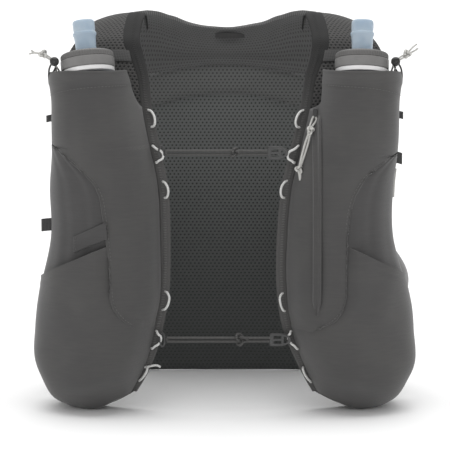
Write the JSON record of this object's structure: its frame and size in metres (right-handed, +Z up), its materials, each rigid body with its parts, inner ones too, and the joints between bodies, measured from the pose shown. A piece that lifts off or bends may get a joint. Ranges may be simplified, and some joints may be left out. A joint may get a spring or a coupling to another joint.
{
  "type": "running hydration vest",
  "caption": "Dark grey running hydration vest with flask pockets, soft flasks, side panels, mesh back and cord sternum straps.",
  "frame": {"origin": "seat on the shoulders, midway between the two shoulder straps", "axes": "+Z up, -Y towards the front of the vest, +X towards the viewer's right as seen from the front"},
  "size_m": [0.377, 0.2604, 0.3825],
  "materials": {
    "pocket_cloth": "matte stretch-woven",
    "strap_mesh": "matte open mesh",
    "back_mesh": "matte perforated mesh",
    "binding": "smooth knitted binding",
    "dark_cord": "braided",
    "white_lace": "flat braided",
    "grey_cord": "braided",
    "dark_plastic": "satin",
    "cap_plastic": "satin",
    "collar_plastic": "satin",
    "valve_silicone": "smooth translucent",
    "flask_film": "smooth film"
  },
  "bodies": {
    "root": {"chest_pocket_left": "pocket_cloth", "chest_pocket_right": "pocket_cloth", "side_panel_left": "pocket_cloth", "side_panel_right": "pocket_cloth", "lower_pocket_left": "pocket_cloth", "lower_pocket_right": "pocket_cloth", "pocket_keeper": "pocket_cloth", "zip_flap": "pocket_cloth", "rear_pouch": "pocket_cloth", "harness_left": "strap_mesh", "harness_right": "strap_mesh", "neck_yoke": "back_mesh", "upper_back": "back_mesh", "back_panel": "back_mesh", "side_wing_left": "back_mesh", "side_wing_right": "back_mesh", "edge_binding_left": "binding", "edge_binding_right": "binding", "strap_band_left": "binding", "strap_band_right": "binding", "hang_loop": "binding", "side_tab_upper_left": "binding", "side_tab_lower_left": "binding", "side_tab_upper_right": "binding", "side_tab_lower_right": "binding", "lock_loop_left": "dark_cord", "lock_loop_right": "dark_cord", "sternum_cord_upper": "dark_cord", "sternum_cord_lower": "dark_cord", "sternum_tail_upper": "dark_cord", "sternum_tail_lower": "dark_cord", "sternum_knot_upper": "dark_cord", "sternum_knot_lower": "dark_cord", "lace_left": "white_lace", "lace_right": "white_lace", "drawcord_left": "grey_cord", "drawcord_right": "grey_cord", "drawcord_knot_left": "grey_cord", "drawcord_knot_right": "grey_cord", "drawcord_tail_left": "grey_cord", "drawcord_tail_right": "grey_cord", "zip_pull_cord": "grey_cord", "zip_pull_knot": "grey_cord", "zip_pull_end": "grey_cord", "side_cord": "grey_cord", "cord_lock_left": "dark_plastic", "cord_lock_right": "dark_plastic", "sternum_hook_upper": "dark_plastic", "sternum_hook_lower": "dark_plastic", "sternum_ring_upper": "dark_plastic", "sternum_ring_lower": "dark_plastic", "zip_slider": "dark_plastic", "flask_cap_left": "cap_plastic", "flask_cap_right": "cap_plastic", "flask_collar_left": "collar_plastic", "flask_collar_right": "collar_plastic", "bite_valve_left": "valve_silicone", "bite_valve_right": "valve_silicone", "flask_body_left": "flask_film", "flask_body_right": "flask_film"}
  },
  "joints": []
}
